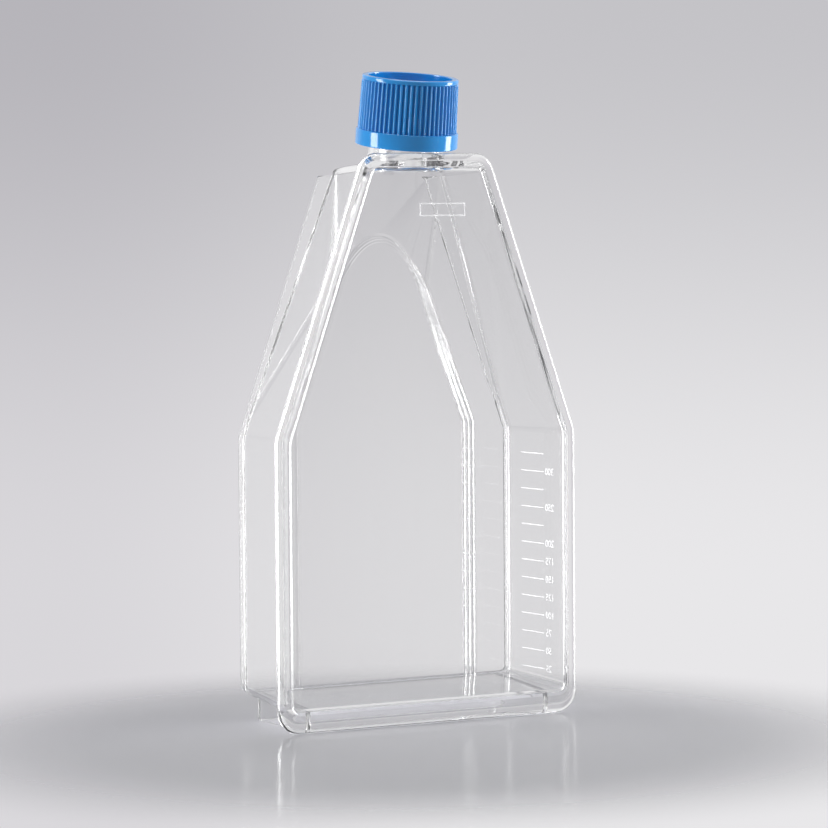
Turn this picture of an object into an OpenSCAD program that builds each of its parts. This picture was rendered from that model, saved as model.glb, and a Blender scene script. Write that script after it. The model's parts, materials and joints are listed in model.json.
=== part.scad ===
// Cell culture flask with a canted neck and a vented screw cap.
// It stands on its end. X is the width, the front plate faces -Y, and +Z is up.
// The origin is the middle of the flask's bounding box, on the surface it stands on.

/* [Flask] */
// Width over the rim
body_w = 120; // [108:1:144]
// Height of the rim
body_h = 200; // [180:1:240]
// Depth from the rim's front face to the skirt's edge
body_d = 42; // [38:1:50]
// Height of the shoulder bend
shoulder_z = 101.5; // [85:0.5:115]
// Width of the rim's top edge, between its sharp corners
top_w = 50.2; // [48:0.2:60]
// Radius of the rim's corners
corner_r = 8; // [6.5:0.5:9.5]
// Radius of the rim's shoulder bends
bend_r = 12; // [10:0.5:16]

/* [Rim and front plate] */
// Depth of the rim
rim_d = 3; // [2.6:0.1:3.6]
// Width of the rim up the sides and over the top
rim_w = 5.2; // [5:0.1:6.2]
// Width of the rim along the bottom
rim_foot_w = 7.2; // [6:0.1:8.6]
// How far the rim stands in front of the plate
rim_step = 0.9; // [0.5:0.05:1]
// Depth of the groove that takes the shell's edge
groove_d = 0.8; // [0.5:0.05:0.9]

/* [Shell] */
// Thickness of the side walls
wall = 1.8; // [1.5:0.1:2.2]
// Thickness of the growth wall at the back
growth_wall = 2; // [1.6:0.1:2.4]
// Inset of the shell from the rim's outline at the front
front_inset = 2.8; // [2.4:0.1:3.2]
// Inset of the shell from the rim's outline at the skirt's edge
back_inset = 5.5; // [4.5:0.1:6.5]
// Height of the end wall above the standing surface, at the front
end_z_front = 6.6; // [5.5:0.1:8]
// Height of the end wall above the standing surface, at the back
end_z_back = 9.3; // [8:0.1:11]
// How far the skirt stands behind the growth wall
skirt_h = 2.8; // [2:0.1:4]

/* [Growth wall] */
// Distance of the arch's crown below the rim's top
arch_drop = 28.5; // [26:0.5:35]
// Height of the arch from the ends of its creases to its crown
arch_h = 20.2; // [18:0.2:22]
// Radius of the arch at its crown
arch_r = 9.25; // [8:0.25:10.5]
// Distance of the raised pad from the rim's sides, at the middle of its sloping edge
pad_in = 24; // [20:0.5:30]
// Distance of the pad's crown below the arch's crown
pad_drop = 1.1; // [1:0.1:3]
// Height of the pad's corners above the shoulder bend
pad_corner_rise = 2; // [0:0.5:6]
// Half the width of the arched part of the pad's edge
pad_arch_w = 17; // [14:0.5:20]
// Width of the pad's sloping edge, up its sides
pad_bevel = 6; // [4:0.5:8]
// How far the pad stands up towards the front
pad_h = 1; // [0.6:0.05:1.4]
// How far the top of the ramp lies behind the neck's tube
ramp_out = 0; // [-0.5:0.1:2]

/* [Standing foot] */
// Distance of the foot's ends from the rim's sides
foot_in = 11.2; // [9:0.1:20]
// Thickness of the foot's walls
foot_t = 2; // [1.6:0.1:2.4]
// Gap between the foot's sides and the front plate
foot_front_gap = 0.3; // [0.2:0.1:1]

/* [Neck] */
// Tilt of the neck towards the front plate, in degrees
cant = 8.5; // [5:0.5:10]
// Gap between the neck's collar and the back of the rim, at the rim's top
neck_clear = 0.07; // [0.05:0.01:1]
// Gap between the cap's base ring and the rim's top
cap_clear = 0.125; // [0.1:0.005:2]
// Radius of the neck's bore
bore_r = 11; // [9.5:0.1:12]
// Thickness of the neck's wall
neck_wall = 1.8; // [1.5:0.1:2.2]
// How far the plain collar below the cap stands out from the neck
collar_out = 0.6; // [0.3:0.1:0.9]
// Height of the collar above the cap's base
collar_h = 1.2; // [0.8:0.1:2]
// Height of the lip above the cap's base
lip_h = 17.8; // [16:0.1:22]

/* [Thread] */
// Lead of the single-start thread
lead = 4; // [3.6:0.1:5]
// Turns of thread on the neck and in the cap
thread_turns = 1.5; // [1.25:0.25:1.75]
// Height that the thread stands off its wall
thread_h = 1.1; // [0.8:0.05:1.1]
// Width of the thread at its root
thread_root = 1.6; // [1.2:0.05:1.6]
// Width of the thread at its crest
thread_crest = 0.7; // [0.5:0.05:0.8]
// Gap between the neck's thread and the cap's bore
thread_gap = 0.7; // [0.6:0.05:0.9]

/* [Cap] */
// How far the smooth base ring stands out from the ribs
ring_out = 0.9; // [0.5:0.1:2]
// Height of the base ring
ring_h = 5.6; // [4:0.1:7]
// Thickness of the cap's wall between the ribs
cap_wall = 1.85; // [1.4:0.05:2.4]
// Depth of the grooves between the ribs
rib_depth = 0.75; // [0.4:0.05:0.8]
// Number of ribs
rib_count = 60; // [40:2:72]
// How far the cap stands above the neck's lip
cap_head = 6.6; // [6:0.1:9]
// Height of the plain band above the ribs
band_h = 1.5; // [1:0.1:3]
// Depth of the recess in the cap's top
recess_d = 4.8; // [4.5:0.1:5]
// Width of the ring round the recess
recess_ring = 2.3; // [2:0.1:3]
// Length of the plug seal inside the neck
plug_l = 3.6; // [2.5:0.1:5]
// Gap between the plug seal and the neck's bore
plug_gap = 0.25; // [0.2:0.05:0.4]
// Thickness of the plug seal
plug_t = 0.9; // [0.7:0.05:1.1]
// Gap between the neck's lip and the cap's floor
lip_gap = 0.3; // [0.25:0.05:0.5]
// Number of vent holes
vent_count = 6; // [4:1:8]
// Radius of a vent hole
vent_r = 1.6; // [1.2:0.1:1.8]
// Radius of the circle of vent holes
vent_ring_r = 5.4; // [5:0.1:6]
// Thickness of the filter disc
filter_t = 0.3; // [0.2:0.05:0.5]
// Gap between the filter disc and the plug seal
filter_gap = 0.3; // [0.25:0.05:0.5]

/* [Hidden] */
$fn = 96;

clear = [0.90, 0.93, 0.96, 0.35];
blue = [0.10, 0.45, 0.82];
white = [0.94, 0.94, 0.92];

// Segments in each rounded corner, and in each turn of the thread.
arc_steps = 8;
turn_steps = 36;
// How far a cut or a joined piece runs past the face it meets.
over = 1;
// Clearance of the shell's edge in the plate's groove.
weld_gap = 0.05;
// Radii of the foot's inner corners and of its front edges.
foot_corner_r = 1.5;
foot_edge_r = 0.2;
// Radius of the shell's bottom corners.
shell_foot_r = 4;
// Height of the thread's first end above the cap's base.
thread_start = 4.2;
// How far the plain band of the cap stands in from the ribs.
band_in = 0.2;
// How far a part that is joined to a wall is sunk into it.
sunk = 0.3;

half_w = body_w / 2;
top_half = top_w / 2;
arch_z = body_h - arch_drop;
pad_half_w = half_w - pad_in;
pad_crown_z = arch_z - pad_drop;
slope = (half_w - top_half) / (body_h - shoulder_z);
slope_angle = atan(slope);

neck_r = bore_r + neck_wall;
collar_r = neck_r + collar_out;
cap_bore_r = neck_r + thread_h + thread_gap;
rib_r = cap_bore_r + cap_wall + rib_depth;
ring_r = rib_r + ring_out;
cap_h = lip_h + cap_head;
floor_z = lip_h + lip_gap;
floor_top = cap_h - recess_d;
cap_top_r = rib_r - band_in;

cap_gap = ring_r * sin(cant) + cap_clear;
cap_z = body_h + cap_gap;
neck_d = rim_d + collar_r / cos(cant) - cap_gap * tan(cant) + neck_clear;
ramp_top_d = neck_d + neck_r + ramp_out;
cap_overhang = rib_r * cos(cant) + (cap_h - band_h) * sin(cant) - neck_d;
front_y = -(body_d - cap_overhang) / 2;

growth_d = body_d - skirt_h;
shell_front = rim_d - groove_d;

plug_r = bore_r - plug_gap;
filter_r = plug_r - plug_t - filter_gap;

// Outline with rounded corners. Each corner is [x, z, radius].
function unit(v) = v / norm(v);
function corner_arc(a, p, b, r) =
    let (u = unit(a - p), v = unit(b - p),
         half = acos(max(-1, min(1, u * v))) / 2,
         centre = p + unit(u + v) * r / sin(half),
         from = p + u * r / tan(half) - centre,
         to = p + v * r / tan(half) - centre,
         start = atan2(from[1], from[0]),
         turn = atan2(from[0] * to[1] - from[1] * to[0], from * to))
    [for (k = [0 : arc_steps])
        centre + r * [cos(start + turn * k / arc_steps), sin(start + turn * k / arc_steps)]];
function flat2(p) = [p[0], p[1]];
function rounded(c) =
    let (n = len(c))
    [for (i = [0 : n - 1])
        each corner_arc(flat2(c[(i + n - 1) % n]), flat2(c[i]), flat2(c[(i + 1) % n]), c[i][2])];

// The flask's outline, moved in by an inset, with its bottom edge at bottom_z.
function outline(inset, bottom_z, r_foot) =
    let (w = half_w - inset,
         sz = shoulder_z - inset * tan(slope_angle / 2),
         tz = body_h - inset,
         tw = w - (tz - sz) * slope,
         r_top = max(corner_r - inset, wall),
         r_bend = max(bend_r - inset, wall))
    rounded([[-w, bottom_z, r_foot], [w, bottom_z, r_foot], [w, sz, r_bend],
             [tw, tz, r_top], [-tw, tz, r_top], [-w, sz, r_bend]]);

// Inset of the shell, and height of its end wall, at a depth behind the rim's front face.
function shell_share(d) = (d - rim_d) / (body_d - rim_d);
function shell_inset(d) = front_inset + (back_inset - front_inset) * shell_share(d);
function end_z(d) = end_z_front + (end_z_back - end_z_front) * shell_share(d);
function shell_outline(d, inward) =
    outline(shell_inset(d) + inward, end_z(d) + inward, max(shell_foot_r - inward, wall));

// Solid between two outlines of as many points, at two depths.
module loft(front, d0, back, d1) {
    n = len(front);
    points = [for (p = front) [p[0], d0, p[1]], for (p = back) [p[0], d1, p[1]]];
    faces = [[for (i = [0 : n - 1]) n - 1 - i], [for (i = [0 : n - 1]) n + i],
             for (i = [0 : n - 1]) [i, (i + 1) % n, i + n],
             for (i = [0 : n - 1]) [(i + 1) % n, n + (i + 1) % n, i + n]];
    polyhedron(points, faces);
}

module shell_block(d0, d1, inward) {
    loft(shell_outline(d0, inward), d0, shell_outline(d1, inward), d1);
}

// Half the width of the arch at a height, for an arch with its crown at crown_z.
function arch_half(z, crown_z) = sqrt(2 * arch_r * (crown_z - z));

// The growth wall's outer surface is flat inside the arch and the two crease lines.
// Outside them it ramps up to the neck.
crease_z = arch_z - arch_h;
crease_x = arch_half(crease_z, arch_z);
shoulder_x = half_w - shell_inset(growth_d);
ridge_z = shoulder_z;
ramp_z = body_h - front_inset + over;
ramp_x = top_half - wall - front_inset;
// Half the width of the blocks that the shell is cut with.
far = body_w * 0.75;
arch_steps = 8;

// Depth on the side ramp, the plane through the shoulder, the crease and the ramp's top corner.
ramp_a = [shoulder_x, growth_d, ridge_z];
ramp_b = [crease_x, growth_d, crease_z];
ramp_c = [ramp_x, ramp_top_d, ramp_z];
ramp_n = cross(ramp_b - ramp_a, ramp_c - ramp_a);
function ramp_depth(x, z) =
    ramp_a[1] - (ramp_n[0] * (x - ramp_a[0]) + ramp_n[2] * (z - ramp_a[2])) / ramp_n[1];
crease_far_z = ridge_z - (far - shoulder_x) * (crease_z - ridge_z) / (shoulder_x - crease_x);

// Right half of the arch, from the crease up to just before the crown.
arch_right = [for (k = [0 : arch_steps - 1])
    let (x = crease_x * (1 - k / arch_steps)) [x, arch_z - x * x / (2 * arch_r)]];
function mirrored(pts) = [for (i = [len(pts) - 1 : -1 : 0]) [-pts[i][0], pts[i][1]]];

// Everything in front of the growth wall's outer surface, moved to the front by shift.
module in_front_of_growth(shift) {
    low = -10 * over;
    arch = concat(arch_right, [[0, arch_z]], mirrored(arch_right));
    m = len(arch);
    flat_edge = concat([[0, low], [far, low], [far, crease_far_z]], arch,
                       [[-far, crease_far_z], [-far, low]]);
    nf = len(flat_edge);
    first = 3;
    crown = first + arch_steps;
    last = first + m - 1;
    surface = concat(
        [for (p = flat_edge) [p[0], growth_d - shift, p[1]]],
        [[far, ramp_depth(far, ramp_z) - shift, ramp_z], [ramp_x, ramp_top_d - shift, ramp_z],
         [-ramp_x, ramp_top_d - shift, ramp_z], [-far, ramp_depth(far, ramp_z) - shift, ramp_z]]);
    right_far = nf;
    right_in = nf + 1;
    left_in = nf + 2;
    left_far = nf + 3;
    base = len(surface);
    front = [[-far, -over, low], [far, -over, low], [far, -over, ramp_z], [-far, -over, ramp_z]];
    faces = concat(
        [[for (i = [0 : nf - 1]) i]],
        [[right_far, right_in, first, 2]],
        [for (k = [first : crown - 1]) [k + 1, k, right_in]],
        [[left_in, crown, right_in]],
        [for (k = [crown : last - 1]) [k + 1, k, left_in]],
        [[left_far, nf - 2, last, left_in]],
        [[base + 3, base + 2, base + 1, base]],
        [[0, nf - 1, base, base + 1, 1]],
        [[1, base + 1, base + 2, right_far, 2]],
        [[base + 2, base + 3, left_far, left_in, right_in, right_far]],
        [[base, nf - 1, nf - 2, left_far, base + 3]]);
    polyhedron(concat(surface, front), faces);
}

// Outline of the pad, moved out from the middle of its sloping edge by a share of its width.
// The edge follows the arch, then the flask's slopes and sides. The end wall cuts its foot.
pad_crown_share = 0.3;
pad_corner_r = 8;
pad_steps = 10;
function pad_outline(share) =
    let (out = share * pad_bevel,
         w = pad_half_w + out,
         top = pad_crown_z + out * pad_crown_share,
         r = arch_r + out * pad_crown_share,
         arch_w = pad_arch_w + out,
         corner = [w, shoulder_z + pad_corner_rise],
         right = [for (k = [0 : pad_steps - 1])
             let (x = arch_w * (1 - k / pad_steps)) [x, top - x * x / (2 * r)]],
         bend = corner_arc([w, 0], corner, right[0], pad_corner_r))
    concat([[-w, 0], [w, 0]], bend, right, [[0, top]], mirrored(right), mirrored(bend));

// The pad is cut out of what lies in front of the growth wall, and widens backwards.
module pad_block(shift) {
    loft(pad_outline(-0.5), growth_d - pad_h - shift, pad_outline(1), growth_d + pad_h / 2 - shift);
}

module growth_side(shift) {
    difference() {
        in_front_of_growth(shift);
        pad_block(shift);
    }
}

// Places what is drawn along +Z on the neck's axis, with zero at the cap's base.
module on_neck() {
    translate([0, neck_d, cap_z]) rotate([cant, 0, 0]) children();
}

// Helical ridge on a wall of radius r. It stands out by side * thread_h.
module thread_ridge(r, side, start) {
    steps = ceil(thread_turns * turn_steps);
    taper = turn_steps / 6;
    lead_in = 0.15;
    points = [for (i = [0 : steps])
        let (a = 360 * thread_turns * i / steps,
             z = start + lead * thread_turns * i / steps,
             grow = min(1, i / taper - lead_in, (steps - i) / taper - lead_in),
             r_in = r - side * sunk,
             r_out = r + side * thread_h * grow,
             w_in = thread_root / 2,
             w_out = thread_crest / 2)
        each [[r_in * cos(a), r_in * sin(a), z - w_in], [r_out * cos(a), r_out * sin(a), z - w_out],
              [r_out * cos(a), r_out * sin(a), z + w_out], [r_in * cos(a), r_in * sin(a), z + w_in]]];
    quads = [for (i = [0 : steps - 1]) for (k = [0 : 3])
        [4 * i + k, 4 * i + (k + 1) % 4, 4 * i + 4 + (k + 1) % 4, 4 * i + 4 + k]];
    shell = concat(
        [[3, 2, 1, 0]], [[4 * steps, 4 * steps + 1, 4 * steps + 2, 4 * steps + 3]],
        [for (q = quads) each [[q[0], q[1], q[2]], [q[0], q[2], q[3]]]]);
    polyhedron(points, side < 0 ? [for (f = shell) [for (i = [len(f) - 1 : -1 : 0]) f[i]]] : shell);
}

// How far the collar runs down inside the shell, to meet the ramp.
neck_reach = 12;
module neck_outside() {
    on_neck() {
        translate([0, 0, -neck_reach]) cylinder(h = neck_reach + collar_h, r = collar_r);
        cylinder(h = lip_h, r = neck_r);
        thread_ridge(neck_r, 1, thread_start);
    }
}

// The growth wall's outer side: the space inside the skirt, and above the skirt's ends.
module behind_growth() {
    skirt_top = body_h - back_inset - wall - over / 5;
    difference() {
        union() {
            shell_block(growth_d / 2, body_d + over, wall);
            translate([-far, growth_d / 2, skirt_top]) cube([2 * far, body_d, body_h]);
        }
        growth_side(0);
    }
}

module vessel_space() {
    intersection() {
        shell_block(rim_d - over, body_d - over, wall);
        growth_side(growth_wall);
    }
}

// The foot is a low skirt under the end wall, open at the front.
module foot() {
    w = half_w - foot_in;
    front = rim_d + foot_front_gap;
    in_w = w - foot_t;
    in_d = body_d - foot_t;
    r = foot_corner_r;
    edge = foot_edge_r;
    linear_extrude(end_z_back + wall / 2)
        polygon(rounded([[-w, front, edge], [-in_w, front, edge], [-in_w, in_d, r], [in_w, in_d, r],
                         [in_w, front, edge], [w, front, edge], [w, body_d, r + foot_t],
                         [-w, body_d, r + foot_t]]));
}

// The shell's front edge carries a tongue that sits in the plate's groove.
tongue_t = 1;
tongue_in = (wall - tongue_t) / 2;
module tongue(gap, d0, d1) {
    a = front_inset + tongue_in - gap;
    b = front_inset + tongue_in + tongue_t + gap;
    za = end_z_front + tongue_in - gap;
    zb = end_z_front + tongue_in + tongue_t + gap;
    difference() {
        slab(outline(a, za, shell_foot_r), d0, d1);
        slab(outline(b, zb, shell_foot_r - tongue_t), d0 - over, d1 + over);
    }
}

module flask_body() {
    color(clear) translate([0, front_y, 0]) difference() {
        union() {
            difference() {
                shell_block(rim_d, body_d, 0);
                behind_growth();
            }
            neck_outside();
            foot();
            tongue(0, shell_front, rim_d + over / 2);
        }
        vessel_space();
        on_neck() translate([0, 0, -neck_reach - over])
            cylinder(h = lip_h + neck_reach + 2 * over, r = bore_r);
    }
}

module top_plate() {
    window_r = corner_r - rim_w / 2;
    color(clear) translate([0, front_y, 0]) difference() {
        slab(outline(0, 0, corner_r), 0, rim_d);
        slab(outline(rim_w, rim_foot_w, window_r), -over, rim_step);
        tongue(weld_gap, shell_front - weld_gap, rim_d + over);
    }
}

// Plate of an outline in x and z, between two depths.
module slab(points, d0, d1) {
    translate([0, d1, 0]) rotate([90, 0, 0]) linear_extrude(d1 - d0) polygon(points);
}

// Ribs as an outline of small trapezoids round a circle. The shares of the pitch are where
// the groove's floor ends, and where the rib's tip starts and ends.
module ribbed_band(h) {
    pitch = 360 / rib_count;
    root = rib_r - rib_depth;
    floor_share = 0.35;
    tip_from = 0.55;
    tip_to = 0.8;
    linear_extrude(h) polygon([for (i = [0 : rib_count - 1]) let (a = i * pitch) each [
        root * [cos(a), sin(a)],
        root * [cos(a + floor_share * pitch), sin(a + floor_share * pitch)],
        rib_r * [cos(a + tip_from * pitch), sin(a + tip_from * pitch)],
        rib_r * [cos(a + tip_to * pitch), sin(a + tip_to * pitch)]]]);
}

module cap_outside() {
    edge = 0.4;
    rotate_extrude() polygon([[0, 0], [ring_r - edge, 0], [ring_r, edge], [ring_r, ring_h - edge],
                              [ring_r - edge, ring_h], [0, ring_h]]);
    translate([0, 0, ring_h - edge]) ribbed_band(cap_h - ring_h - band_h + edge);
    rotate_extrude() polygon([[0, cap_h - band_h], [cap_top_r, cap_h - band_h], [cap_top_r, cap_h - edge],
                              [cap_top_r - edge, cap_h], [0, cap_h]]);
}

module cap() {
    color(blue) translate([0, front_y, 0]) on_neck() {
        difference() {
            cap_outside();
            translate([0, 0, floor_top]) cylinder(h = recess_d + over, r = cap_top_r - recess_ring);
            translate([0, 0, -over]) cylinder(h = floor_z + over, r = cap_bore_r);
            for (i = [0 : vent_count - 1]) rotate(i * 360 / vent_count)
                translate([vent_ring_r, 0, floor_z - over])
                    cylinder(h = floor_top - floor_z + 2 * over, r = vent_r);
        }
        thread_ridge(cap_bore_r, -1, thread_start + lead / 2);
        translate([0, 0, floor_z - plug_l]) difference() {
            cylinder(h = plug_l + sunk, r = plug_r);
            translate([0, 0, -over]) cylinder(h = plug_l + 2 * over, r = plug_r - plug_t);
        }
    }
}

module vent_membrane() {
    color(white) translate([0, front_y, 0]) on_neck()
        translate([0, 0, floor_z - filter_t]) cylinder(h = filter_t, r = filter_r);
}

flask_body();
top_plate();
cap();
vent_membrane();
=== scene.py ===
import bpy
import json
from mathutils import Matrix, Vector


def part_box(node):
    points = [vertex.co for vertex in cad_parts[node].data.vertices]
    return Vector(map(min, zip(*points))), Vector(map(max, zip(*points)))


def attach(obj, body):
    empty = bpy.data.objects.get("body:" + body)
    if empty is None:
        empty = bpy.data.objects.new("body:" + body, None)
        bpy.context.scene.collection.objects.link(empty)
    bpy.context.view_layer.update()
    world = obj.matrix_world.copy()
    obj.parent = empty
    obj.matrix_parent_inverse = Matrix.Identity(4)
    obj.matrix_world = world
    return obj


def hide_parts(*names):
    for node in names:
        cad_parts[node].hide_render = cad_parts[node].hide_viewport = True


bl_info = {
    "name": "Cell Culture Flask",
    "version": (1, 0, 0),
    "blender": (4, 5, 0),
    "location": "View3D > Sidebar > Flask",
    "description": "Builds a clear moulded cell culture flask with a canted neck and a vented screw cap",
    "category": "Add Mesh",
}

import json
import math

import bmesh
import bpy
from mathutils import Matrix, Vector

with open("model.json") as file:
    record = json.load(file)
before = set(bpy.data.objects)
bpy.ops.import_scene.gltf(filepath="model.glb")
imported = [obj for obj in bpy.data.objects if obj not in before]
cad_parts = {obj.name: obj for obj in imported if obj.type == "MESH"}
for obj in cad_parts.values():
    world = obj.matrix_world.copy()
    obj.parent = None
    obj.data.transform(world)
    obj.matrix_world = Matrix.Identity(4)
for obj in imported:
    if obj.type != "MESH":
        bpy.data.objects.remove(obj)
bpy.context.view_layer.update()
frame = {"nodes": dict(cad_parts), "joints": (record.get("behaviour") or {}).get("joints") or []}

MM = 0.001

# The frame the pieces are built on: the front face of the rim, the neck's base and its tilt.
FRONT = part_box("top_plate")[0].y
RIM_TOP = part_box("top_plate")[1].z
HALF_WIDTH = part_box("top_plate")[1].x
RIM_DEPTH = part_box("top_plate")[1].y - FRONT
SKIRT_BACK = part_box("flask_body")[1].y - FRONT
TURN = next(j for j in frame["joints"] if j["name"] == "cap_turn")
NECK_BASE = Vector(TURN["pos_m"])
NECK_AXIS = Vector(TURN["axis"]).normalized()
NECK_TILT = math.atan2(-NECK_AXIS.y, NECK_AXIS.z)
ARC_STEPS = 8


# ---------------------------------------------------------------- settings


class FlaskSizes(bpy.types.PropertyGroup):
    shoulder: bpy.props.FloatProperty(
        name="Shoulder height", description="Height of the bend where the sides start to slope",
        default=0.1015, unit="LENGTH")
    top_half: bpy.props.FloatProperty(
        name="Half top width", description="Half the width of the rim's top edge between sharp corners",
        default=0.0251, unit="LENGTH")
    corner: bpy.props.FloatProperty(
        name="Rim corner radius", description="Radius of the rim's bottom and top corners",
        default=0.008, unit="LENGTH")
    bend: bpy.props.FloatProperty(
        name="Shoulder bend radius", description="Radius of the rim's shoulder bends",
        default=0.012, unit="LENGTH")
    rim_round: bpy.props.FloatProperty(
        name="Rim rounding", description="Depth of the rounding of the rim's outer front edge",
        default=0.002, unit="LENGTH")
    rim_crown: bpy.props.FloatProperty(
        name="Rim crown", description="Width of the rounding of the rim's outer front edge",
        default=0.003, unit="LENGTH")
    rim_back: bpy.props.FloatProperty(
        name="Rim rounding, back", description="Radius of the rim's back edge",
        default=0.0009, unit="LENGTH")
    rim_width: bpy.props.FloatProperty(
        name="Rim width", description="Width of the rim's flat face up the sides",
        default=0.0043, unit="LENGTH")
    rim_foot: bpy.props.FloatProperty(
        name="Rim foot width", description="Width of the rim's flat face along the bottom",
        default=0.0063, unit="LENGTH")
    rim_step: bpy.props.FloatProperty(
        name="Panel recess", description="Depth of the front panel behind the rim's face",
        default=0.0009, unit="LENGTH")
    wall: bpy.props.FloatProperty(
        name="Side wall", description="Thickness of the side walls",
        default=0.0018, unit="LENGTH")
    growth_wall: bpy.props.FloatProperty(
        name="Growth wall", description="Thickness of the back wall that cells grow on",
        default=0.002, unit="LENGTH")
    front_inset: bpy.props.FloatProperty(
        name="Front inset", description="Inset of the shell behind the rim's outline at the front",
        default=0.0028, unit="LENGTH")
    back_inset: bpy.props.FloatProperty(
        name="Back inset", description="Inset of the shell behind the rim's outline at the skirt's edge",
        default=0.0055, unit="LENGTH")
    end_front: bpy.props.FloatProperty(
        name="End wall height, front", description="Height of the end wall above the bench at the front",
        default=0.0066, unit="LENGTH")
    end_back: bpy.props.FloatProperty(
        name="End wall height, back", description="Height of the end wall above the bench at the back",
        default=0.0093, unit="LENGTH")
    skirt: bpy.props.FloatProperty(
        name="Skirt height", description="How far the skirt stands behind the growth wall",
        default=0.0028, unit="LENGTH")
    arch_top: bpy.props.FloatProperty(
        name="Arch height", description="Height of the crown of the growth wall's arch",
        default=0.1715, unit="LENGTH")
    arch_radius: bpy.props.FloatProperty(
        name="Arch radius", description="Radius of the arch at its crown",
        default=0.00925, unit="LENGTH")
    ramp_top: bpy.props.FloatProperty(
        name="Ramp top depth", description="Depth of the growth wall's outer face at the top of the ramp",
        default=0.029, unit="LENGTH")
    pad_half: bpy.props.FloatProperty(
        name="Half pad width", description="Half the width of the raised pad of the growth wall",
        default=0.036, unit="LENGTH")
    pad_arch: bpy.props.FloatProperty(
        name="Half pad arch width", description="Half the width of the rounded top of the pad",
        default=0.017, unit="LENGTH")
    pad_bevel: bpy.props.FloatProperty(
        name="Pad bevel", description="Width of the soft slope round the pad",
        default=0.006, unit="LENGTH")
    pad_rise: bpy.props.FloatProperty(
        name="Pad rise", description="How far the pad stands up towards the front",
        default=0.001, unit="LENGTH")
    pad_steps: bpy.props.IntProperty(
        name="Pad steps", description="Number of small steps that the pad's slope is made of", default=3, min=1)
    foot_half: bpy.props.FloatProperty(
        name="Half foot width", description="Half the width of the low foot under the end wall",
        default=0.0488, unit="LENGTH")
    foot_wall: bpy.props.FloatProperty(
        name="Foot wall", description="Thickness of the foot's walls",
        default=0.002, unit="LENGTH")
    bore: bpy.props.FloatProperty(
        name="Bore radius", description="Radius of the neck's bore",
        default=0.011, unit="LENGTH")
    neck: bpy.props.FloatProperty(
        name="Neck radius", description="Outer radius of the neck's tube",
        default=0.0128, unit="LENGTH")
    collar: bpy.props.FloatProperty(
        name="Collar radius", description="Outer radius of the neck's collar below the cap",
        default=0.0134, unit="LENGTH")
    lip: bpy.props.FloatProperty(
        name="Lip height", description="Height of the neck's lip above the cap's base",
        default=0.0178, unit="LENGTH")
    thread_lead: bpy.props.FloatProperty(
        name="Thread lead", description="Rise of the thread in one turn",
        default=0.004, unit="LENGTH")
    ring: bpy.props.FloatProperty(
        name="Cap ring radius", description="Radius of the cap's smooth base ring",
        default=0.0181, unit="LENGTH")
    ring_height: bpy.props.FloatProperty(
        name="Cap ring height", description="Height of the cap's smooth base ring",
        default=0.0056, unit="LENGTH")
    cap_height: bpy.props.FloatProperty(
        name="Cap height", description="Height of the cap",
        default=0.0244, unit="LENGTH")
    ribs: bpy.props.IntProperty(
        name="Ribs", description="Number of grip ribs round the cap", default=60)
    rib_foot: bpy.props.FloatProperty(
        name="Rib radius, foot", description="Radius over the ribs just above the base ring",
        default=0.01745, unit="LENGTH")
    rib_head: bpy.props.FloatProperty(
        name="Rib radius, head", description="Radius over the ribs under the top band",
        default=0.01705, unit="LENGTH")
    rib_depth: bpy.props.FloatProperty(
        name="Rib depth", description="Depth of the grooves between the ribs",
        default=0.0008, unit="LENGTH")


class FlaskColours(bpy.types.PropertyGroup):
    plastic: bpy.props.StringProperty(
        name="Flask plastic", description="sRGB hex colour of the clear polystyrene", default="#fbfbfb")
    cap: bpy.props.StringProperty(
        name="Cap plastic", description="sRGB hex colour of the cap", default="#1690dc")
    filter: bpy.props.StringProperty(
        name="Filter film", description="sRGB hex colour of the filter film", default="#eeeeea")
    ink: bpy.props.StringProperty(
        name="Scale ink", description="sRGB hex colour of the printed scale", default="#f6f6f6")
    table: bpy.props.StringProperty(
        name="Table", description="sRGB hex colour of the table", default="#acacaf")
    # The backdrop's colours paint a pool of light on it: lighter near the table, darker up high and at its left end.
    backdrop_low: bpy.props.StringProperty(
        name="Backdrop, low", description="sRGB hex colour of the backdrop near the table", default="#e8e7e9")
    backdrop_high: bpy.props.StringProperty(
        name="Backdrop, high", description="sRGB hex colour of the backdrop above the flask", default="#c4c3c7")
    backdrop_edge: bpy.props.StringProperty(
        name="Backdrop shade", description="sRGB hex colour that the backdrop's left end is shaded with",
        default="#eeedef")
    screens: bpy.props.StringProperty(
        name="Screens", description="sRGB hex colour of the pale screens beside the backdrop",
        default="#f4f4f5")
    room: bpy.props.StringProperty(
        name="Room", description="sRGB hex colour of the plain room at the sides", default="#c8c8cb")
    room_front: bpy.props.StringProperty(
        name="Room, front", description="sRGB hex colour of the plain room in front", default="#bcbcbf")


# ---------------------------------------------------------------- helpers


def linear(code):
    """sRGB hex to linear RGBA."""
    parts = [int(code[i:i + 2], 16) / 255 for i in (1, 3, 5)]
    return tuple(c / 12.92 if c <= 0.04045 else ((c + 0.055) / 1.055) ** 2.4 for c in parts) + (1.0,)


def add_node(tree, kind, settings=None, inputs=None):
    """Adds one node, sets its properties, and sets or links its inputs."""
    node = tree.nodes.new(kind)
    for key, value in (settings or {}).items():
        setattr(node, key, value)
    for key, value in (inputs or {}).items():
        if isinstance(value, bpy.types.NodeSocket):
            tree.links.new(value, node.inputs[key])
        else:
            node.inputs[key].default_value = value
    return node


def new_material(name):
    mat = bpy.data.materials.new(name)
    mat.use_nodes = True
    mat.node_tree.nodes.clear()
    return mat, mat.node_tree


def clear_selection():
    if bpy.context.object is not None and bpy.context.object.mode != "OBJECT":
        bpy.ops.object.mode_set(mode="OBJECT")
    bpy.ops.object.select_all(action="DESELECT")


def select(obj):
    clear_selection()
    obj.select_set(True)
    bpy.context.view_layer.objects.active = obj


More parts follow.
